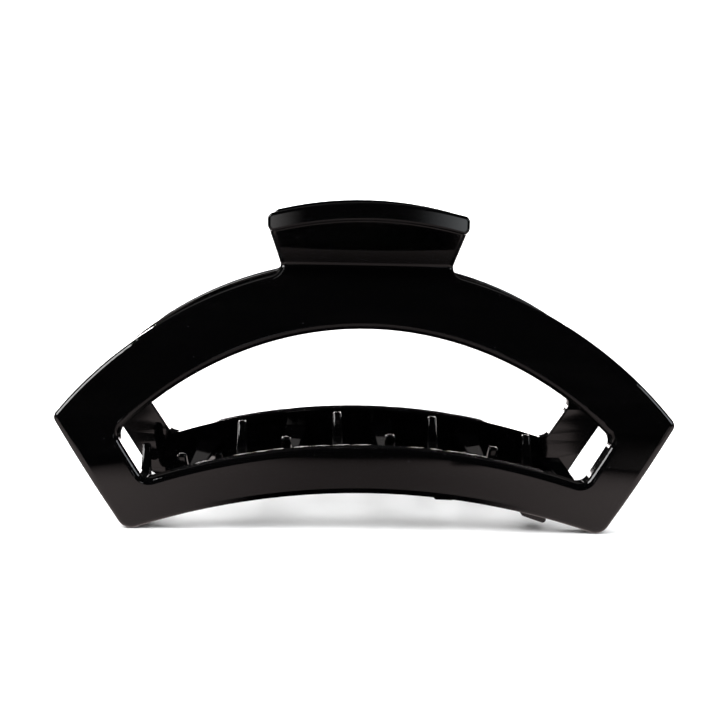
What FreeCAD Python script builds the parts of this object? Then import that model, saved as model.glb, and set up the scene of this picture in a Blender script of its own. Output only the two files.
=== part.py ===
"""Claw clip: two identical moulded halves, the hinge pin and the torsion spring, in millimetres.

The clip stands closed on its four lower corners, with +Z up. X runs along the clip, the hinge
axis is parallel to X, and the front half lies towards -Y. The back half is the same moulding
turned half a turn about Z.
"""
import FreeCAD, Part
import math
import os

import Sketcher
from FreeCAD import Placement, Rotation, Vector

# Driving dimensions, in mm and degrees.
SIZES = {
    # Shell, seen from the side: an arc of constant wall, widest near the bottom.
    "half_depth": 22.3,
    "bulge_radius": 60.0,
    "bulge_height": 7.1,
    "wall": 3.5,
    # Frame, seen from the front: feet, side tips, top arch, hollow bottom edge.
    "foot_reach": 40.7,
    "belly_rise": 7.05,
    "tip_reach": 52.95,
    "tip_height": 18.85,
    "arch_radius": 67.6,
    # Opening in the frame.
    "opening_top": 33.8,
    "opening_top_radius": 58.96,
    "opening_floor": 14.4,
    "opening_floor_radius": 119.5,
    "strut_width": 7.6,
    # Thumb tab and its lip.
    "crease_height": 44.4,
    "tab_lean": 34.0,
    "tab_wall": 2.9,
    "neck_reach": 14.65,
    "tab_reach": 16.95,
    "tab_top": 55.5,
    "tab_top_radius": 68.0,
    "plate_drop": 1.6,
    "lip_reach": 17.2,
    "lip_height": 3.1,
    "lip_depth": 3.7,
    "lip_proud": 0.9,
    # Roundings.
    "foot_round": 2.5,
    "tip_round": 1.3,
    "opening_round": 2.0,
    "neck_round": 2.0,
    "crease_round": 0.9,
    "edge_round": 1.1,
    "lip_corner": 1.0,
    "lip_round": 0.5,
    "inner_round": 0.3,
    # Teeth.
    "tooth_count": 5,
    "tooth_pitch": 18.4,
    "tooth_root_width": 4.6,
    "tooth_tip_width": 1.5,
    "tooth_floor": 7.6,
    "tooth_root_top": 11.5,
    "tooth_waist": 9.4,
    "tooth_bend": 1.0,
    "tooth_tip_depth": 1.5,
    "tooth_tip_reach": 11.9,
    "tooth_tip_height": 14.8,
    "tooth_round": 0.45,
    "tooth_fan": 0.08,
    # Heels that hang from the roots of the last two teeth.
    "heel_front": 19.4,
    "heel_depth": 4.2,
    "inner_heel_start": 11.9,
    "inner_heel_end": 15.6,
    "inner_heel_low": 5.0,
    "inner_heel_end_low": 4.9,
    "inner_heel_top": 8.5,
    "outer_heel_start": 27.1,
    "outer_heel_end": 31.5,
    "outer_heel_low": 2.4,
    "outer_heel_end_low": 0.9,
    "outer_heel_top": 5.5,
    "heel_round": 0.6,
    # Hinge: lugs, pin and its play in the front half's lugs.
    "axis_height": 42.6,
    "pin_radius": 1.1,
    "pin_length": 27.0,
    "pin_chamfer": 0.25,
    "pin_play": 0.05,
    "lug_radius": 3.1,
    "lug_width": 3.0,
    "outer_lug": 11.5,
    "inner_lug": 8.1,
    # Torsion spring.
    "coil_radius": 2.9,
    "wire_radius": 0.5,
    "coil_pitch": 1.25,
    "coil_turns": 9,
    "leg_lean": 36.3,
    "leg_length": 8.8,
    # Ejector-pin marks on the inner face of the lower bar.
    "mark_radius": 1.2,
    "mark_depth": 0.15,
    "mark_gap": 3.0,
    "mark_height": 11.4,
    "mark_shift": 1.9,
}
ROOT_SINK = 1.2       # how far teeth and lugs run into the wall they grow from
BELOW_FEET = -3.0     # the shell's side section starts below the feet and is trimmed to the outline
ABOVE_TAB = 60.0      # and ends above the tab
NEAR = 0.001


def shell_depth(height, radius):
    """Distance of a shell surface of this radius from the middle plane, at this height."""
    offset = SIZES["bulge_radius"] - SIZES["half_depth"]
    return math.sqrt(radius ** 2 - (height - SIZES["bulge_height"]) ** 2) - offset


def outer_depth(height):
    """Distance of the shell's outer surface from the middle plane."""
    return shell_depth(height, SIZES["bulge_radius"])


def inner_depth(height):
    """Distance of the shell's inner surface from the middle plane."""
    return shell_depth(height, SIZES["bulge_radius"] - SIZES["wall"])


def tab_depth(height):
    """Distance of the tab's outer surface from the middle plane."""
    rise = height - SIZES["crease_height"]
    return outer_depth(SIZES["crease_height"]) + rise * math.tan(math.radians(SIZES["tab_lean"]))


def tab_inner_depth(height):
    """Distance of the tab's inner surface from the middle plane."""
    return tab_depth(height) - SIZES["tab_wall"] / math.cos(math.radians(SIZES["tab_lean"]))


def arc_height(reach, apex, radius):
    """Height of an upward arch of this apex and radius, at this distance from the middle."""
    return apex - radius + math.sqrt(radius ** 2 - reach ** 2)


def sag_of_bar(reach):
    """How far the lower bar has dropped from its middle, at this distance along it."""
    return SIZES["belly_rise"] - arc_height(reach, SIZES["belly_rise"], belly_radius())


def foot_drop():
    """How far the sharp foot corner lies below its rounding, which touches the ground."""
    rise = SIZES["tip_height"]
    out = SIZES["tip_reach"] - SIZES["foot_reach"]
    end_angle = math.atan2(rise, out)
    belly_angle = math.pi - math.asin(SIZES["foot_reach"] / belly_radius())
    half_corner = (belly_angle - end_angle) / 2
    middle = (belly_angle + end_angle) / 2
    return SIZES["foot_round"] * (math.sin(middle) / math.sin(half_corner) - 1)


def belly_radius():
    """Radius of the hollow bottom edge, which falls from its middle to the feet."""
    rise = SIZES["belly_rise"]
    return (SIZES["foot_reach"] ** 2 + rise ** 2) / (2 * rise)


def crossing(difference, low, high):
    """Where difference changes sign between low and high, by halving."""
    rising = difference(high) > difference(low)
    for _ in range(60):
        middle = (low + high) / 2
        if (difference(middle) > 0) == rising:
            high = middle
        else:
            low = middle
    return (low + high) / 2


def opening_corner(apex, radius):
    """Where the opening's side line meets an arch of this apex and radius."""
    out = SIZES["tip_reach"] - SIZES["foot_reach"]
    rise = SIZES["tip_height"] + foot_drop()
    length = math.hypot(out, rise)

    def side(height):
        on_end = SIZES["foot_reach"] + (height + foot_drop()) * out / rise
        return on_end - SIZES["strut_width"] * length / rise

    height = crossing(lambda z: z - arc_height(side(z), apex, radius), 0.0, apex)
    return side(height), height


def tooth_places():
    """Distance of each tooth's tip from the middle: half a pitch between the two halves' teeth."""
    first = -(SIZES["tooth_count"] - 1) / 2 - 0.25
    return [SIZES["tooth_pitch"] * (first + i) for i in range(SIZES["tooth_count"])]


def derive_shell():
    """What follows for the shell's side section and its outline."""
    crease = SIZES["crease_height"]
    elbow = crossing(lambda z: tab_inner_depth(z) - inner_depth(z), crease - 4, crease)
    return {
        "span": 2 * SIZES["tip_reach"] + 2,
        "depth_span": 2 * SIZES["half_depth"] + 2,
        "inner_radius": SIZES["bulge_radius"] - SIZES["wall"],
        "section_foot": BELOW_FEET,
        "section_top": ABOVE_TAB,
        "foot_depth": outer_depth(BELOW_FEET),
        "foot_inner_depth": inner_depth(BELOW_FEET),
        "crease_depth": outer_depth(crease),
        "elbow_depth": inner_depth(elbow),
        "elbow_height": elbow,
        "tab_end_depth": tab_depth(ABOVE_TAB),
        "tab_end_inner_depth": tab_inner_depth(ABOVE_TAB),
        "foot_level": -foot_drop(),
        "belly_radius": belly_radius(),
    }


def derive_tab():
    """What follows for the neck, the thumb tab and its lip."""
    tab_centre = SIZES["tab_top"] - SIZES["tab_top_radius"]
    lip_radius = SIZES["tab_top_radius"] - SIZES["lip_height"]
    plate_radius = SIZES["tab_top_radius"] - SIZES["plate_drop"]
    arch_apex = SIZES["tip_height"] - arc_height(SIZES["tip_reach"], 0.0, SIZES["arch_radius"])
    return {
        "neck_height": arc_height(SIZES["neck_reach"], arch_apex, SIZES["arch_radius"]),
        "shoulder_height": tab_centre + math.sqrt(lip_radius ** 2 - SIZES["tab_reach"] ** 2),
        "plate_side": tab_centre + math.sqrt(plate_radius ** 2 - SIZES["tab_reach"] ** 2),
        "plate_radius": plate_radius,
        "lip_under": tab_centre + math.sqrt(lip_radius ** 2 - SIZES["lip_reach"] ** 2),
        "lip_side": arc_height(SIZES["lip_reach"], SIZES["tab_top"], SIZES["tab_top_radius"]),
        "lip_radius": lip_radius,
        "lip_front": tab_depth(SIZES["tab_top"] - SIZES["lip_height"]) + SIZES["lip_proud"],
    }


def derive_opening():
    """What follows for the corners of the opening."""
    top_x, top_z = opening_corner(SIZES["opening_top"], SIZES["opening_top_radius"])
    floor_x, floor_z = opening_corner(SIZES["opening_floor"], SIZES["opening_floor_radius"])
    return {
        "opening_top_reach": top_x,
        "opening_top_side": top_z,
        "opening_floor_reach": floor_x,
        "opening_floor_side": floor_z,
    }


def derive_teeth():
    """What follows for the teeth."""
    bend = SIZES["tooth_tip_reach"] - SIZES["tooth_bend"]
    inner_bend = bend - SIZES["tooth_tip_depth"]
    tooth_rise = SIZES["tooth_tip_height"] - SIZES["tooth_floor"]
    waist_rise = SIZES["tooth_tip_height"] - SIZES["tooth_waist"]
    return {
        "tooth_root": inner_depth(SIZES["tooth_floor"]) + ROOT_SINK,
        "taper_margin": 2 * SIZES["half_depth"],
        "tooth_tip_inner": SIZES["tooth_tip_reach"] - SIZES["tooth_tip_depth"],
        "tooth_radius": (bend ** 2 + tooth_rise ** 2) / (2 * tooth_rise),
        "tooth_inner_radius": (inner_bend ** 2 + waist_rise ** 2) / (2 * waist_rise),
        "half_root": SIZES["tooth_root_width"] / 2,
        "half_tip": SIZES["tooth_tip_width"] / 2,
    }


def derive_hinge():
    """What follows for the lugs: a web that leaves the wall and runs tangent to the boss."""
    web_foot = SIZES["axis_height"] - 2 * SIZES["lug_radius"]
    web_foot_depth = inner_depth(web_foot) + ROOT_SINK
    slant = math.atan2(web_foot - SIZES["axis_height"], -web_foot_depth)
    reach = math.hypot(web_foot - SIZES["axis_height"], web_foot_depth)
    under = slant + math.acos(SIZES["lug_radius"] / reach)
    return {
        "axis_middle": 0.0,
        "lug_top": SIZES["axis_height"] + SIZES["lug_radius"],
        "web_top_depth": tab_inner_depth(SIZES["axis_height"] + SIZES["lug_radius"]) + ROOT_SINK,
        "web_foot": web_foot,
        "web_foot_depth": web_foot_depth,
        "lug_under_reach": SIZES["lug_radius"] * math.cos(under),
        "lug_under": SIZES["axis_height"] + SIZES["lug_radius"] * math.sin(under),
    }


def derive():
    """The dimensions that follow from the driving ones."""
    return {**derive_shell(), **derive_tab(), **derive_opening(), **derive_teeth(), **derive_hinge()}


class Sheet:
    """The spreadsheet that holds every dimension under a word."""

    def __init__(self, document, values):
        self.cells = document.addObject("Spreadsheet::Sheet", "Sizes")
        self.values = {}
        for name, value in values.items():
            row = len(self.values) + 1
            self.cells.set(f"A{row}", name)
            self.cells.set(f"B{row}", repr(round(float(value), 6)))
            self.cells.setAlias(f"B{row}", name)
            self.values[name] = float(value)
        document.recompute()

    def value(self, word):
        """Value of a word, which may carry a leading minus."""
        return -self.values[word[1:]] if word[0] == "-" else self.values[word]

    def formula(self, word):
        """The same as an expression that never turns negative."""
        cell = word.lstrip("-")
        return f"abs(Sizes.{cell})"


def new_sketch(body, name, role):
    """An empty sketch on one of a body's own origin planes."""
    sketch = body.newObject("Sketcher::SketchObject", name)
    plane = next(f for f in body.Origin.OriginFeatures if f.Role == role)
    sketch.AttachmentSupport = [(plane, "")]
    sketch.MapMode = "FlatFace"
    return sketch


def fix_point(sketch, sheet, edge, end, words):
    """Dimension one end of an edge from the sketch's origin with two cells of the sheet."""
    for kind, word in zip(("DistanceX", "DistanceY"), words):
        size = sheet.value(word)
        pair = (edge, end, -1, 1) if size < 0 else (-1, 1, edge, end)
        index = sketch.addConstraint(Sketcher.Constraint(kind, *pair, abs(size)))
        sketch.setExpression(f"Constraints[{index}]", sheet.formula(word))


def bent_edge(start, finish, radius):
    """Arc from start to finish, bulging to the right when the radius is positive."""
    half = (finish - start) / 2
    side = Vector(-half.y, half.x, 0).normalize() * math.copysign(1, radius)
    centre = start + half + side * math.sqrt(radius ** 2 - half.Length ** 2)
    return Part.Arc(start, centre - side * abs(radius), finish)


def draw_outline(sketch, sheet, corners, bends):
    """Draw a closed outline through the corners, each a pair of words. A bend names the radius of
    the arc that leaves its corner, with a leading minus where the arc curves to the right."""
    points = [Vector(sheet.value(x), sheet.value(y), 0) for x, y in corners]
    ends = []
    for i, start in enumerate(points):
        finish = points[(i + 1) % len(points)]
        if i in bends:
            edge = sketch.addGeometry(bent_edge(start, finish, sheet.value(bends[i])))
            radius = Sketcher.Constraint("Radius", edge, abs(sheet.value(bends[i])))
            index = sketch.addConstraint(radius)
            sketch.setExpression(f"Constraints[{index}]", sheet.formula(bends[i]))
        else:
            edge = sketch.addGeometry(Part.LineSegment(start, finish))
        first = 1 if sketch.getPoint(edge, 1).isEqual(start, 1e-4) else 2
        ends.append((edge, first, 3 - first))
    for i, (edge, first, last) in enumerate(ends):
        following, opening, _ = ends[(i + 1) % len(ends)]
        sketch.addConstraint(Sketcher.Constraint("Coincident", edge, last, following, opening))
        fix_point(sketch, sheet, edge, first, corners[i])


def mirrored(half):
    """The corners of the right half of an outline, from bottom to top, and their mirror images."""
    return half + [("-" + x, z) for x, z in reversed(half)]


def pad(body, sketch, name, word, side="One side", reverse=False):
    """Pad a sketch by a dimension of the sheet."""
    feature = body.newObject("PartDesign::Pad", name)
    feature.Profile = sketch
    feature.SideType = side
    feature.Reversed = reverse
    feature.setExpression("Length", f"Sizes.{word}")
    sketch.Visibility = False
    return feature


def cut_through(body, sketch, name):
    """Cut a sketch right through, to both sides of its plane."""
    feature = body.newObject("PartDesign::Pocket", name)
    feature.Profile = sketch
    feature.SideType = "Symmetric"
    feature.setExpression("Length", "2 * Sizes.span")
    sketch.Visibility = False
    return feature


def round_edges(body, name, word, choose):
    """Round every edge of the body so far that choose() accepts."""
    body.Document.recompute()
    base = body.Tip
    names = [f"Edge{i + 1}" for i, edge in enumerate(base.Shape.Edges) if choose(edge)]
    feature = body.newObject("PartDesign::Fillet", name)
    feature.Base = (base, names)
    feature.setExpression("Radius", f"Sizes.{word}")
    body.Document.recompute()
    return feature


def samples(edge, count=7):
    """Points along an edge."""
    first, last = edge.ParameterRange
    return [edge.valueAt(first + (last - first) * i / (count - 1)) for i in range(count)]


def runs_along_y(edge):
    """Is the edge parallel to Y?"""
    points = samples(edge)
    return all(math.hypot(p.x - points[0].x, p.z - points[0].z) < NEAR for p in points)


def upright_at(reach, height):
    """Chooses the edges parallel to Y at this place of the front view, left and right."""

    def choose(edge):
        return all(math.hypot(abs(p.x) - reach, p.z - height) < NEAR for p in samples(edge))

    return choose


def on_profile(below, above, turn):
    """Chooses the edges along a surface given by its depth below and above a turning height."""

    def choose(edge):
        points = samples(edge)
        flat = max(p.z for p in points) - min(p.z for p in points) < NEAR
        if flat and abs(points[0].z - turn) < 3:
            return False
        for p in points:
            gap = abs(-p.y - (below(p.z) if p.z < turn else above(p.z)))
            if gap > (0.35 if abs(p.z - turn) < 1.5 else 0.01):
                return False
        return True

    return choose


def make_section(document, sheet, name):
    """The curved shell and the leaning tab as a straight extrusion along X."""
    body = document.addObject("PartDesign::Body", name)
    sketch = new_sketch(body, "Section", "YZ_Plane")
    corners = [
        ("-foot_depth", "section_foot"),
        ("-foot_inner_depth", "section_foot"),
        ("-elbow_depth", "elbow_height"),
        ("-tab_end_inner_depth", "section_top"),
        ("-tab_end_depth", "section_top"),
        ("-crease_depth", "crease_height"),
    ]
    draw_outline(sketch, sheet, corners, {1: "-inner_radius", 5: "bulge_radius"})
    pad(body, sketch, "SectionPad", "span", "Symmetric")
    depth, height = sheet.values["crease_depth"], sheet.values["crease_height"]

    def crease(edge):
        return all(math.hypot(p.y + depth, p.z - height) < NEAR for p in samples(edge))

    round_edges(body, "CreaseRound", "crease_round", crease)
    return body


def make_frame(document, sheet, name):
    """The front view of shell and tab with its opening, as a straight extrusion along Y."""
    body = document.addObject("PartDesign::Body", name)
    outline = new_sketch(body, "Outline", "XZ_Plane")
    corners = [
        ("foot_reach", "foot_level"),
        ("tip_reach", "tip_height"),
        ("neck_reach", "neck_height"),
        ("tab_reach", "shoulder_height"),
        ("tab_reach", "plate_side"),
    ]
    bends = {1: "arch_radius", 4: "plate_radius", 7: "arch_radius", 9: "-belly_radius"}
    draw_outline(outline, sheet, mirrored(corners), bends)
    pad(body, outline, "OutlinePad", "depth_span", "Symmetric")
    opening = new_sketch(body, "Opening", "XZ_Plane")
    sides = [
        ("opening_floor_reach", "opening_floor_side"),
        ("opening_top_reach", "opening_top_side"),
    ]
    draw_outline(opening, sheet, mirrored(sides), {1: "opening_top_radius", 3: "-opening_floor_radius"})
    cut_through(body, opening, "OpeningCut")
    for corner, word in (("foot", "foot_level"), ("tip", "tip_height"), ("neck", "neck_height")):
        place = upright_at(sheet.values[corner + "_reach"], sheet.values[word])
        round_edges(body, corner.title() + "Round", corner + "_round", place)
    for end in ("floor", "top"):
        place = upright_at(sheet.values[f"opening_{end}_reach"], sheet.values[f"opening_{end}_side"])
        round_edges(body, f"Opening{end.title()}Round", "opening_round", place)
    return body


def make_shell(document, sheet, name):
    """The moulding without lip, teeth and lugs: the section trimmed to the front view."""
    body = make_section(document, sheet, name)
    trim = body.newObject("PartDesign::Boolean", "FrameTrim")
    trim.Type = "Common"
    trim.setObjects([make_frame(document, sheet, name + "Frame")])
    crease = SIZES["crease_height"]
    round_edges(body, "EdgeRound", "edge_round", on_profile(outer_depth, tab_depth, crease))
    elbow = sheet.values["elbow_height"]
    round_edges(body, "InnerRound", "inner_round", on_profile(inner_depth, tab_inner_depth, elbow))
    return body


def make_lip(document, sheet, name):
    """The thickened rim along the top edge of the tab."""
    body = document.addObject("PartDesign::Body", name)
    sketch = new_sketch(body, "LipOutline", "XZ_Plane")
    corners = [("lip_reach", "lip_under"), ("lip_reach", "lip_side")]
    draw_outline(sketch, sheet, mirrored(corners), {1: "tab_top_radius", 3: "-lip_radius"})
    sketch.setExpression("AttachmentOffset.Base.z", "Sizes.lip_front")
    pad(body, sketch, "LipPad", "lip_depth", reverse=True)
    round_edges(body, "LipCorners", "lip_corner", runs_along_y)
    round_edges(body, "LipRound", "lip_round", lambda edge: not runs_along_y(edge))
    return body


def make_tooth(document, sheet, name, tip):
    """A tooth that hooks up behind the other half, tapering towards its tip."""
    body = document.addObject("PartDesign::Body", name)
    side = new_sketch(body, "ToothSide", "YZ_Plane")
    corners = [
        ("-tooth_root", "tooth_floor"),
        ("tooth_bend", "tooth_floor"),
        ("tooth_tip_reach", "tooth_tip_height"),
        ("tooth_tip_inner", "tooth_tip_height"),
        ("tooth_bend", "tooth_waist"),
        ("-tooth_root", "tooth_root_top"),
    ]
    draw_outline(side, sheet, corners, {1: "tooth_radius", 3: "-tooth_inner_radius"})
    pad(body, side, "ToothPad", "tooth_root_width", "Symmetric")
    plan = new_sketch(body, "ToothPlan", "XY_Plane")
    border = [("tooth_root_width", "-taper_margin"), ("tooth_root_width", "taper_margin")]
    draw_outline(plan, sheet, mirrored(border), {})
    taper = [("half_root", "-tooth_root"), ("half_tip", "tooth_tip_reach")]
    draw_outline(plan, sheet, mirrored(taper), {})
    cut_through(body, plan, "ToothTaper")
    root = -sheet.values["tooth_root"]
    round_edges(body, "ToothRound", "tooth_round", lambda edge: max(p.y for p in samples(edge)) > root + NEAR)
    place = (1 - SIZES["tooth_fan"]) * tip
    turn = -math.asin(SIZES["tooth_fan"] * tip / (SIZES["tooth_tip_reach"] - root))
    rotation = Rotation(Vector(0, 0, 1), math.degrees(turn))
    start = Vector(0, root, 0)
    base = Vector(place, root, -sag_of_bar((place + tip) / 2)) - rotation.multVec(start)
    body.Placement = Placement(base, rotation)
    return body


def make_heel(document, sheet, name, which):
    """A short stub that hangs below the lower bar from the root of a tooth."""
    body = document.addObject("PartDesign::Body", name)
    sketch = new_sketch(body, "HeelFront", "XZ_Plane")
    corners = [
        (f"{which}_heel_start", f"{which}_heel_top"),
        (f"{which}_heel_start", f"{which}_heel_low"),
        (f"{which}_heel_end", f"{which}_heel_end_low"),
        (f"{which}_heel_end", f"{which}_heel_top"),
    ]
    draw_outline(sketch, sheet, corners, {})
    sketch.setExpression("AttachmentOffset.Base.z", "Sizes.heel_front")
    pad(body, sketch, "HeelPad", "heel_depth", reverse=True)
    round_edges(body, "HeelRound", "heel_round", lambda edge: True)
    return body


def make_lug(document, sheet, name, word):
    """A hinge lug: a boss round the axis and its web from the tab and the shell."""
    body = document.addObject("PartDesign::Body", name)
    sketch = new_sketch(body, "LugSide", "YZ_Plane")
    corners = [
        ("lug_under_reach", "lug_under"),
        ("axis_middle", "lug_top"),
        ("-web_top_depth", "lug_top"),
        ("-web_foot_depth", "web_foot"),
    ]
    draw_outline(sketch, sheet, corners, {0: "lug_radius"})
    sketch.setExpression("AttachmentOffset.Base.z", word)
    pad(body, sketch, "LugPad", "lug_width", "Symmetric")
    return body


def make_half(document, sheet, name, label, bore):
    """One moulded half with its lugs bored to the given radius."""
    parts = [make_shell(document, sheet, name + "Shell"), make_lip(document, sheet, name + "Lip")]
    for i, tip in enumerate(tooth_places()):
        parts.append(make_tooth(document, sheet, f"{name}Tooth{i + 1}", tip))
    for which in ("inner", "outer"):
        parts.append(make_heel(document, sheet, f"{name}{which.title()}Heel", which))
    parts.append(make_lug(document, sheet, name + "OuterLug", "-Sizes.outer_lug"))
    parts.append(make_lug(document, sheet, name + "InnerLug", "Sizes.inner_lug"))
    joined = document.addObject("Part::MultiFuse", name + "Joined")
    joined.Shapes = parts
    joined.Refine = True
    tools = [make_bore(document, name + "Bore", bore)]
    for i, tip in enumerate(tooth_places()):
        for side in (-1, 1):
            reach = -tip - SIZES["mark_shift"] + side * SIZES["mark_gap"] / 2
            tools.append(make_mark(document, f"{name}Mark{i + 1}{'LR'[side > 0]}", reach))
    holes = document.addObject("Part::MultiFuse", name + "Holes")
    holes.Shapes = tools
    half = document.addObject("Part::Cut", name)
    half.Base = joined
    half.Tool = holes
    half.Label = label
    document.recompute()
    return half


def make_bore(document, name, word):
    """The bore through both lugs of a half."""
    bore = document.addObject("Part::Cylinder", name)
    bore.setExpression("Radius", word)
    bore.setExpression("Height", "4 * Sizes.outer_lug")
    bore.Placement = along_x(-2 * SIZES["outer_lug"])
    return bore


def along_x(start):
    """Placement of a cylinder on the hinge axis, from this distance along X."""
    return Placement(Vector(start, 0, SIZES["axis_height"]), Rotation(Vector(0, 1, 0), 90))


def make_mark(document, name, reach):
    """A shallow round ejector mark on the inner face of the lower bar."""
    mark = document.addObject("Part::Cylinder", name)
    height = SIZES["mark_height"] - sag_of_bar(reach)
    mark.setExpression("Radius", "Sizes.mark_radius")
    mark.setExpression("Height", "Sizes.wall")
    start = Vector(reach, -inner_depth(height) - SIZES["mark_depth"], height)
    mark.Placement = Placement(start, Rotation(Vector(1, 0, 0), -90))
    return mark


def make_pin(document):
    """The hinge pin, chamfered at both ends."""
    rod = document.addObject("Part::Cylinder", "PinRod")
    rod.setExpression("Radius", "Sizes.pin_radius")
    rod.setExpression("Height", "Sizes.pin_length")
    rod.Placement = along_x(-SIZES["pin_length"] / 2)
    document.recompute()
    pin = document.addObject("Part::Chamfer", "HingePin")
    pin.Base = rod
    ends = [i + 1 for i, edge in enumerate(rod.Shape.Edges) if edge.Curve.TypeId == "Part::GeomCircle"]
    pin.Edges = [(i, SIZES["pin_chamfer"], SIZES["pin_chamfer"]) for i in ends]
    pin.Label = "hinge pin"
    return pin


def make_spring(document):
    """The torsion spring: a coil round the pin, and one leg up the inside of each tab."""
    turn = 360 * SIZES["coil_turns"] - 180 - 2 * SIZES["leg_lean"]
    length = SIZES["coil_pitch"] * turn / 360
    axis = Vector(0, 0, SIZES["axis_height"])
    helix = document.addObject("Part::Helix", "CoilLine")
    helix.setExpression("Radius", "Sizes.coil_radius")
    helix.setExpression("Pitch", "Sizes.coil_pitch")
    helix.Height = length
    about_x = Rotation(Vector(1, 0, 0), 270 + SIZES["leg_lean"])
    helix.Placement = Placement(axis - Vector(length / 2, 0, 0), about_x * Rotation(Vector(0, 1, 0), 90))
    wire = document.addObject("Part::Circle", "WireSection")
    wire.setExpression("Radius", "Sizes.wire_radius")
    lean = math.radians(SIZES["leg_lean"])
    foot = Vector(-length / 2, -SIZES["coil_radius"] * math.cos(lean), -SIZES["coil_radius"] * math.sin(lean))
    leg = Vector(0, -math.sin(lean), math.cos(lean))
    slope = Vector(SIZES["coil_pitch"] / (2 * math.pi), 0, 0)
    wire.Placement = Placement(axis + foot, Rotation(Vector(0, 0, 1), slope - leg * SIZES["coil_radius"]))
    coil = document.addObject("Part::Sweep", "Coil")
    coil.Sections = [wire]
    coil.Spine = helix
    coil.Solid = True
    coil.Frenet = True
    pieces = [coil]
    half_turn = Placement(Vector(0, 0, 0), Rotation(Vector(0, 0, 1), 180))
    for name, turned in (("Front", Placement()), ("Back", half_turn)):
        rod = document.addObject("Part::Cylinder", name + "Leg")
        rod.setExpression("Radius", "Sizes.wire_radius")
        rod.setExpression("Height", "Sizes.leg_length")
        rod.Placement = turned * Placement(axis + foot, Rotation(Vector(0, 0, 1), leg))
        bend = document.addObject("Part::Sphere", name + "Bend")
        bend.setExpression("Radius", "Sizes.wire_radius")
        bend.Placement = turned * Placement(axis + foot, Rotation())
        pieces += [rod, bend]
    spring = document.addObject("Part::MultiFuse", "TorsionSpring")
    spring.Shapes = pieces
    spring.Label = "torsion spring"
    return spring


def check(document, parts):
    """Stop when anything in the document or any part is unsound."""
    document.recompute()
    for item in document.Objects:
        if "Invalid" in item.State or "Error" in item.State:
            raise RuntimeError(f"{item.Name} did not compute")
    for name, part in parts.items():
        if part.Shape.isNull() or not part.Shape.isValid():
            raise RuntimeError(f"{name} is not a valid shape")
        if len(part.Shape.Solids) != 1:
            raise RuntimeError(f"{name} has {len(part.Shape.Solids)} solids")


def export(parts):
    """Write one STEP file for each part."""
    os.makedirs("parts", exist_ok=True)
    for name, part in parts.items():
        part.Shape.exportStep(f"parts/{name}.step")


def main():
    """Build the clip and write its parts."""
    document = FreeCAD.newDocument("ClawClip")
    sheet = Sheet(document, {**SIZES, **derive()})
    loose = "Sizes.pin_radius + Sizes.pin_play"
    back = make_half(document, sheet, "BackHalf", "back half", "Sizes.pin_radius")
    back.Placement = Placement(Vector(0, 0, 0), Rotation(Vector(0, 0, 1), 180))
    parts = {
        "front_half": make_half(document, sheet, "FrontHalf", "front half", loose),
        "back_half": back,
        "hinge_pin": make_pin(document),
        "torsion_spring": make_spring(document),
    }
    check(document, parts)
    export(parts)


main()
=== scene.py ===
"""Claw clip on a pale floor under soft studio light: glossy black moulded halves, steel pin and spring."""
import math

import bpy
from mathutils import Matrix, Vector


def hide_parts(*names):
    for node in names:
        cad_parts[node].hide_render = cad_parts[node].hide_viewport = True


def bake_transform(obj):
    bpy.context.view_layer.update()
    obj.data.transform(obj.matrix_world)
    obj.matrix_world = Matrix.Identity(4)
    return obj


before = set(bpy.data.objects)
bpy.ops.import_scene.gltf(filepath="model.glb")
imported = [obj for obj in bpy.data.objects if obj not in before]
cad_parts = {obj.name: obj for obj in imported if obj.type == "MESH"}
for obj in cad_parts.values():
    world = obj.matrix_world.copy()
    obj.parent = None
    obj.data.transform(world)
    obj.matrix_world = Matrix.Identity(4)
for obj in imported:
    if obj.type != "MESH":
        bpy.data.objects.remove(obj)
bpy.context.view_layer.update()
MM = 0.001
AXIS_HEIGHT = 42.6 * MM
# The room reaches this far to each side and upwards.
ROOM = 0.9
# Cards that stand for the floor in reflections lie just above it.
FLOOR_CARD_HEIGHT = 0.1 * MM


def node(tree, kind, spot, **values):
    """A shader node with its settings and input values, named with underscores for spaces."""
    made = tree.nodes.new(kind)
    made.location = spot
    for name, value in values.items():
        if hasattr(made, name):
            setattr(made, name, value)
        else:
            made.inputs[name.replace("_", " ")].default_value = value
    return made


def ramp(tree, source, spot, stops):
    """A colour ramp of grey stops (position, value), driven by a socket."""
    made = node(tree, "ShaderNodeValToRGB", spot)
    elements = made.color_ramp.elements
    while len(elements) < len(stops):
        elements.new(0.5)
    for element, (position, value) in zip(elements, stops):
        element.position = position
        element.color = (value, value, value, 1)
    tree.links.new(source, made.inputs["Fac"])
    return made.outputs["Color"]


def noise(tree, place, spot, scale, detail, roughness=0.5):
    """A noise texture over the coordinates given."""
    made = node(tree, "ShaderNodeTexNoise", spot, Scale=scale, Detail=detail, Roughness=roughness)
    tree.links.new(place, made.inputs["Vector"])
    return made.outputs["Fac"]


def stretched(tree, place, spot, scale, rotation=(0.0, 0.0, 0.0)):
    """Coordinates turned and scaled unevenly, which draws a texture out into lines."""
    made = node(tree, "ShaderNodeMapping", spot, Scale=scale, Rotation=rotation)
    tree.links.new(place, made.inputs["Vector"])
    return made.outputs["Vector"]


def mix(tree, kind, factor, first, second, spot):
    """A mix of two colours or numbers, each a socket or a fixed value."""
    made = node(tree, "ShaderNodeMix", spot, data_type=kind)
    tree.links.new(factor, made.inputs["Factor"])
    for name, given in (("A", first), ("B", second)):
        if isinstance(given, bpy.types.NodeSocket):
            tree.links.new(given, made.inputs[name])
        else:
            made.inputs[name].default_value = given
    return made.outputs["Result"]


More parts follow.
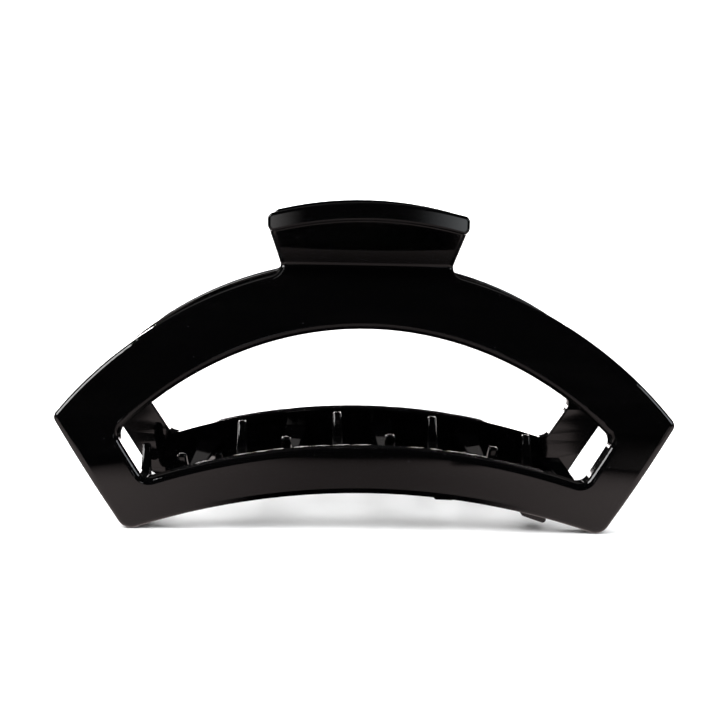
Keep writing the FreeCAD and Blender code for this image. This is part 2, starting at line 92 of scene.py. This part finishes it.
def fade(tree, value, spot, start, end, low, high):
    """A smooth change of a value from low at start to high at end."""
    made = node(tree, "ShaderNodeMapRange", spot, interpolation_type="SMOOTHSTEP",
                From_Min=start, From_Max=end, To_Min=low, To_Max=high)
    tree.links.new(value, made.inputs["Value"])
    return made.outputs["Result"]


def combine(tree, operation, first, second, spot):
    """Two values put together."""
    made = node(tree, "ShaderNodeMath", spot, operation=operation)
    tree.links.new(first, made.inputs[0])
    tree.links.new(second, made.inputs[1])
    return made.outputs["Value"]


def add_bump(tree, shader, height, spot, strength, distance):
    """Shallow relief on a shader."""
    bump = node(tree, "ShaderNodeBump", spot, Strength=strength, Distance=distance)
    tree.links.new(height, bump.inputs["Height"])
    tree.links.new(bump.outputs["Normal"], shader.inputs["Normal"])


def new_material(name):
    """A node material: itself, its tree, its principled shader and its object coordinates."""
    material = bpy.data.materials.new(name)
    material.use_nodes = True
    tree = material.node_tree
    shader = tree.nodes["Principled BSDF"]
    place = node(tree, "ShaderNodeTexCoord", (-1400, 0)).outputs["Object"]
    return material, tree, shader, place


def dust_specks(tree, place):
    """Sparse specks of uneven size: up to 1 on a speck, 0 elsewhere."""
    specks = node(tree, "ShaderNodeTexVoronoi", (-1100, 0), Scale=820.0)
    tree.links.new(place, specks.inputs["Vector"])
    dots = ramp(tree, specks.outputs["Distance"], (-900, 0), [(0.03, 1.0), (0.075, 0.0)])
    pick = node(tree, "ShaderNodeSeparateColor", (-900, -150))
    tree.links.new(specks.outputs["Color"], pick.inputs["Color"])
    chosen = ramp(tree, pick.outputs["Red"], (-700, -150), [(0.86, 0.0), (1.0, 1.0)])
    return combine(tree, "MULTIPLY", dots, chosen, (-500, 0))


def swirled_black(tree, place):
    """Black with cleaning swirls: long faint streaks, a shade lighter."""
    bend = stretched(tree, place, (-1250, 500), (25.0, 25.0, 160.0), rotation=(0.0, 0.5, 0.0))
    streaks = noise(tree, bend, (-1050, 500), 1.0, 4.0, roughness=0.6)
    strength = ramp(tree, streaks, (-800, 500), [(0.48, 0.0), (0.75, 1.0)])
    plain, streak = (0.0005, 0.0005, 0.0006, 1), (0.0016, 0.0015, 0.0016, 1)
    return mix(tree, "RGBA", strength, plain, streak, (-500, 400))


def gloss_black():
    """Polished black moulding: faint flow ripple, handling haze, swirls and a little dust."""
    material, tree, shader, place = new_material("gloss_black_moulding")
    shader.inputs["IOR"].default_value = 1.49
    dust_colour, dust_roughness = (0.06, 0.06, 0.065, 1), 0.6
    dust = dust_specks(tree, place)
    colour = mix(tree, "RGBA", dust, swirled_black(tree, place), dust_colour, (-300, 200))
    tree.links.new(colour, shader.inputs["Base Color"])
    # Handling haze: soft patches that are slightly less polished.
    patches = noise(tree, place, (-1100, 300), 60.0, 3.0)
    haze = ramp(tree, patches, (-900, 300), [(0.42, 0.035), (0.72, 0.085)])
    roughness = mix(tree, "FLOAT", dust, haze, dust_roughness, (-300, 0))
    tree.links.new(roughness, shader.inputs["Roughness"])
    # Flow ripple of the moulding, far too shallow to see except in reflections.
    ripple = noise(tree, place, (-1100, -400), 45.0, 1.0)
    add_bump(tree, shader, ripple, (-300, -300), strength=0.05, distance=0.4 * MM)
    return material


def drawn_steel(name, colour, roughness):
    """Bright drawn wire with fine lines along X."""
    material, tree, shader, place = new_material(name)
    shader.inputs["Metallic"].default_value = 1.0
    along = stretched(tree, place, (-1200, 0), (120.0, 4000.0, 4000.0))
    lines = noise(tree, along, (-1000, 0), 1.0, 3.0)
    uneven = ramp(tree, lines, (-700, -150), [(0.3, roughness * 0.7), (0.7, roughness * 1.4)])
    tree.links.new(uneven, shader.inputs["Roughness"])
    dull = [0.82 * channel for channel in colour]
    tint = mix(tree, "RGBA", lines, (*dull, 1), (*colour, 1), (-500, 150))
    tree.links.new(tint, shader.inputs["Base Color"])
    add_bump(tree, shader, lines, (-300, -300), strength=0.15, distance=0.02 * MM)
    return material


def dress(name, material):
    """Give a CAD node its material."""
    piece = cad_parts[name]
    for slot in piece.material_slots:
        slot.material = material
    if not piece.material_slots:
        piece.data.materials.append(material)


def pale_material(name, glow=0.0):
    """A matt pale material for the floor or a wall, which may glow."""
    material = bpy.data.materials.new(name)
    material.use_nodes = True
    shader = material.node_tree.nodes["Principled BSDF"]
    shader.inputs["Base Color"].default_value = (0.9, 0.9, 0.9, 1)
    shader.inputs["Roughness"].default_value = 0.9
    shader.inputs["Specular IOR Level"].default_value = 0.0
    shader.inputs["Emission Color"].default_value = (1, 1, 1, 1)
    shader.inputs["Emission Strength"].default_value = glow
    return material


def glow_material(name, strength, colour=(1, 1, 1)):
    """A black material with a glow of its own, for a card that shows in reflections."""
    material = bpy.data.materials.new(name)
    material.use_nodes = True
    shader = material.node_tree.nodes["Principled BSDF"]
    shader.inputs["Base Color"].default_value = (0, 0, 0, 1)
    shader.inputs["Specular IOR Level"].default_value = 0.0
    shader.inputs["Emission Color"].default_value = (*colour, 1)
    shader.inputs["Emission Strength"].default_value = strength
    return material


def level_corners(left, right, near, far, height):
    """Corners of a level card."""
    return [(left, near, height), (right, near, height), (right, far, height), (left, far, height)]


def upright_corners(left, right, depth, low, high):
    """Corners of an upright card that faces along Y."""
    return [(left, depth, low), (right, depth, low), (right, depth, high), (left, depth, high)]


def stage_card(name, corners, material):
    """A flat four-cornered card of the stage."""
    mesh = bpy.data.meshes.new(name)
    mesh.from_pydata([Vector(c) for c in corners], [], [(0, 1, 2, 3)])
    card = bpy.data.objects.new(name, mesh)
    card.data.materials.append(material)
    bpy.context.collection.objects.link(card)
    return card


def mirrored_card(name, corners, material):
    """A glowing card that shows in reflections only, like a bounce card outside the picture."""
    card = stage_card(name, corners, material)
    card.visible_camera = False
    card.visible_diffuse = False
    card.visible_shadow = False


def unmirrored(*things):
    """Keep stage pieces or lights out of all reflections."""
    for thing in things:
        thing.visible_glossy = False


def card_places(tree):
    """A card's own X, Y and Z as sockets, for a glow that changes over it."""
    split = node(tree, "ShaderNodeSeparateXYZ", (-1200, 0))
    place = node(tree, "ShaderNodeTexCoord", (-1400, 0)).outputs["Object"]
    tree.links.new(place, split.inputs["Vector"])
    return split.outputs["X"], split.outputs["Y"], split.outputs["Z"]


def drive_glow(tree, strength):
    """Let a socket set a card's glow."""
    tree.links.new(strength, tree.nodes["Principled BSDF"].inputs["Emission Strength"])


def painted_floor_reflection():
    """A glowing card that is a painted reflection of the floor as the polished front mirrors it: pale at the
    sides, with painted shadow making it dimmer in the middle.
    """
    material = glow_material("painted_floor_reflection_glow", 0.0, (1.0, 0.86, 0.84))
    tree = material.node_tree
    x, y, _ = card_places(tree)
    absolute = node(tree, "ShaderNodeMath", (-1000, 200), operation="ABSOLUTE")
    tree.links.new(x, absolute.inputs[0])
    aside = absolute.outputs["Value"]
    # Painted shadow of the clip on the floor: the glow is dimmer in the middle than at the sides.
    across = fade(tree, aside, (-800, 200), start=0.004, end=0.060, low=0.38, high=0.98)
    # It reaches far in the middle and less at the sides.
    deep = fade(tree, y, (-800, 0), start=-0.50, end=-0.09, low=0.0, high=1.0)
    middle = fade(tree, aside, (-800, -150), start=0.036, end=0.062, low=1.0, high=0.0)
    shallow = fade(tree, y, (-800, -300), start=-0.165, end=-0.042, low=0.0, high=1.0)
    far = combine(tree, "MULTIPLY", deep, middle, (-600, -50))
    far = combine(tree, "MAXIMUM", far, shallow, (-500, -150))
    # Painted shadow: close to the clip, the middle stays dark, where the tab leans over the floor.
    close = fade(tree, y, (-800, -450), start=-0.040, end=-0.033, low=1.0, high=0.0)
    clear = fade(tree, aside, (-800, -600), start=0.018, end=0.030, low=0.0, high=1.0)
    near = combine(tree, "MAXIMUM", close, clear, (-600, -500))
    glow = combine(tree, "MULTIPLY", across, far, (-400, 100))
    drive_glow(tree, combine(tree, "MULTIPLY", glow, near, (-250, 0)))
    mirrored_card("painted_floor_reflection_card", level_corners(-0.5, 0.5, -0.55, -0.014, FLOOR_CARD_HEIGHT), material)


def side_card(name, centre, width, height, strength, colour, inner, top=None):
    """An upright card whose glow grows along X, from none at inner to full as far beyond its centre.
    If top is given, the glow also fades upwards, from full on the floor to none at that height."""
    material = glow_material(name + "_glow", strength, colour)
    tree = material.node_tree
    along, _, up = card_places(tree)
    x, y, z = centre
    glow = fade(tree, along, (-600, 0), start=inner, end=2 * x - inner, low=0.0, high=strength)
    if top is not None:
        upward = fade(tree, up, (-600, -200), start=0.0, end=top, low=1.0, high=0.0)
        glow = combine(tree, "MULTIPLY", glow, upward, (-300, 0))
    drive_glow(tree, glow)
    corners = upright_corners(x - width / 2, x + width / 2, y, z - height / 2, z + height / 2)
    mirrored_card(name, corners, material)


def make_room():
    """Pale floor and backdrop, and pale walls on the other sides for the other views only."""
    white = pale_material("floor_white")
    floor = stage_card("floor", level_corners(-ROOM, ROOM, -ROOM, ROOM, 0), white)
    glowing = pale_material("backdrop_white", glow=1.1)
    backdrop = stage_card("backdrop", upright_corners(-ROOM, ROOM, ROOM, 0, ROOM), glowing)
    unmirrored(floor, backdrop)
    posts = [(-ROOM, ROOM), (-ROOM, -ROOM), (ROOM, -ROOM), (ROOM, ROOM)]
    for name, (x0, y0), (x1, y1) in zip(("left_wall", "front_wall", "far_right_wall"), posts, posts[1:]):
        wall = stage_card(name, [(x0, y0, 0), (x1, y1, 0), (x1, y1, ROOM), (x0, y0, ROOM)], glowing)
        wall.visible_diffuse = False
        unmirrored(wall)


def make_cards():
    """Cards for what the gloss mirrors."""
    # The floor's painted reflection, with painted shadow in its middle.
    painted_floor_reflection()
    # The pale floor behind, as the back half and the edges mirror it.
    behind = glow_material("back_floor_glow", 0.6, (1.0, 0.9, 0.88))
    mirrored_card("back_floor_card", level_corners(-0.4, 0.4, 0.026, 0.4, FLOOR_CARD_HEIGHT), behind)
    # A low bright strip behind, which draws the thin line along the bar's inner edge.
    strip = glow_material("low_strip_glow", 9.0, (1.0, 0.95, 0.95))
    mirrored_card("low_strip", upright_corners(-0.2, 0.2, 0.12, 0.009, 0.0235), strip)
    # A dim card high behind, for the grey line along the upper edges and a sheen from behind.
    high = glow_material("high_card_glow", 0.16, (1.0, 0.96, 0.94))
    mirrored_card("high_card", upright_corners(-0.6, 0.6, 0.7, 0.25, 0.75), high)
    # Painted shade: a black card under the clip, seen only in reflections, stands for the shaded floor there
    # and keeps the floor's painted reflection out of the far half's inner face.
    black = glow_material("painted_shade_black", 0.0)
    mirrored_card("painted_shade_under_clip", upright_corners(-0.042, 0.042, -0.008, 0, 0.008), black)
    # Pale cards behind the camera, left and right of it, which the ends of the tab's rim pick up.
    side_card("lip_card_left", centre=(-0.030, -0.33, 0.047), width=0.030, height=0.022,
              strength=3.0, colour=(1.0, 0.98, 0.97), inner=-0.015)
    side_card("lip_card_right", centre=(0.044, -0.33, 0.047), width=0.034, height=0.022,
              strength=2.8, colour=(0.93, 0.97, 1.0), inner=0.027)
    # A dim pale wall at the front right, low over the floor.
    side_card("right_wall", centre=(0.11, -0.18, 0.021), width=0.16, height=0.042,
              strength=0.62, colour=(1.0, 0.9, 0.88), inner=0.035, top=0.042)


def area_light(name, place, target, size, power, colour=(1, 1, 1)):
    """A soft square light aimed at a point."""
    data = bpy.data.lights.new(name, "AREA")
    data.shape = "SQUARE"
    data.size = size
    data.energy = power
    data.color = colour
    light = bpy.data.objects.new(name, data)
    light.location = place
    light.rotation_euler = (Vector(target) - Vector(place)).to_track_quat("-Z", "Y").to_euler()
    bpy.context.collection.objects.link(light)
    return light


def make_lights():
    """A broad light from above, a softbox at each side, and a trace of light from all round."""
    clip = (0, 0, 0.03)
    unmirrored(area_light("overhead", place=(0, 0.1, 0.9), target=(0, 0.1, 0), size=3.0, power=75.0))
    area_light("left_softbox", place=(-0.52, -0.14, 0.46), target=clip, size=0.40, power=4.6)
    area_light("right_softbox", place=(0.60, -0.20, 0.38), target=clip, size=0.30, power=1.2,
               colour=(0.90, 0.95, 1.0))
    world = bpy.data.worlds.new("studio")
    world.use_nodes = True
    background = world.node_tree.nodes["Background"]
    background.inputs["Color"].default_value = (1, 1, 1, 1)
    background.inputs["Strength"].default_value = 0.012
    bpy.context.scene.world = world
    bpy.context.scene.view_settings.view_transform = "Standard"


def make_camera():
    """The camera in front, just above the clip's top, turned slightly right, down and over, in radians."""
    data = bpy.data.cameras.new("camera")
    data.sensor_width = 36.0
    data.lens = 65.0
    data.clip_start = 0.01
    yaw, pitch, roll = 0.0266, 0.137, 0.0195
    place = Vector((-0.007, -0.23695, 0.05912))
    forward = Vector((math.sin(yaw) * math.cos(pitch), math.cos(yaw) * math.cos(pitch), -math.sin(pitch)))
    right = Vector((math.cos(yaw), -math.sin(yaw), 0))
    up = right.cross(forward)
    across = math.cos(roll) * right + math.sin(roll) * up
    upward = -math.sin(roll) * right + math.cos(roll) * up
    turn = Matrix((across, upward, -forward)).transposed().to_4x4()
    camera = bpy.data.objects.new("camera", data)
    camera.matrix_world = Matrix.Translation(place) @ turn
    bpy.context.collection.objects.link(camera)
    bpy.context.scene.camera = camera


def path_rings(path):
    """For each point of a path: the point, its tangent, and a normal that turns as little as it can."""
    rings = []
    last = len(path) - 1
    normal = (path[1] - path[0]).orthogonal()
    for i, centre in enumerate(path):
        tangent = (path[min(i + 1, last)] - path[max(i - 1, 0)]).normalized()
        normal = (normal - tangent * normal.dot(tangent)).normalized()
        rings.append((centre, tangent, normal))
    return rings


def tube(name, path, radius, sides=20):
    """A round wire along a smooth path of points, closed at both ends with rounded caps."""
    rings = path_rings(path)
    # Each step is a ring's place on the path, its shift along the tangent and its radius.
    cap = [(-radius * math.sin(angle), radius * math.cos(angle)) for angle in map(math.radians, (75, 50, 25))]
    steps = [(0, shift, wide) for shift, wide in cap]
    steps += [(i, 0.0, radius) for i in range(len(path))]
    steps += [(len(path) - 1, -shift, wide) for shift, wide in reversed(cap)]
    vertices = []
    for index, shift, wide in steps:
        centre, tangent, normal = rings[index]
        side = tangent.cross(normal)
        for k in range(sides):
            angle = 2 * math.pi * k / sides
            around = normal * math.cos(angle) + side * math.sin(angle)
            vertices.append(centre + tangent * shift + around * wide)
    faces = []
    for i in range(len(steps) - 1):
        for k in range(sides):
            a, b = i * sides + k, i * sides + (k + 1) % sides
            faces.append((a, b, b + sides, a + sides))
    last = (len(steps) - 1) * sides
    faces.append(tuple(reversed(range(sides))))
    faces.append(tuple(range(last, last + sides)))
    mesh = bpy.data.meshes.new(name)
    mesh.from_pydata(vertices, [], faces)
    for polygon in mesh.polygons:
        polygon.use_smooth = True
    piece = bpy.data.objects.new(name, mesh)
    bpy.context.collection.objects.link(piece)
    return piece


def make_spring(material):
    """The torsion spring: a coil round the pin with a leg up the inside of each tab."""
    coil, wire, pitch, leg = 2.9 * MM, 0.49 * MM, 1.25 * MM, 8.8 * MM
    lean = math.radians(36.3)
    # Nine turns, less the part between the two legs.
    turn = 2 * math.pi * 9 - math.pi - 2 * lean
    length = pitch * turn / (2 * math.pi)
    coil_steps, leg_steps = int(turn * 12), 12
    path = []
    for i in range(coil_steps + 1):
        share = i / coil_steps
        angle = math.pi + lean + turn * share
        x = length * (share - 0.5)
        path.append(Vector((x, coil * math.cos(angle), AXIS_HEIGHT + coil * math.sin(angle))))
    front = Vector((0, -math.sin(lean), math.cos(lean)))
    back = Vector((0, math.sin(lean), math.cos(lean)))
    before = [path[0] + front * leg * k / leg_steps for k in range(leg_steps, 0, -1)]
    after = [path[-1] + back * leg * k / leg_steps for k in range(1, leg_steps + 1)]
    spring = tube("spring_wire", before + path + after, wire)
    spring.data.materials.append(material)
    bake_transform(spring)
    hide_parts("torsion_spring")


make_camera()
make_room()
make_cards()
make_lights()
BLACK = gloss_black()
dress("front_half", BLACK)
dress("back_half", BLACK)
dress("hinge_pin", drawn_steel("drawn_steel_pin", (0.62, 0.62, 0.64), 0.28))
make_spring(drawn_steel("bright_spring_wire", (0.74, 0.74, 0.76), 0.16))
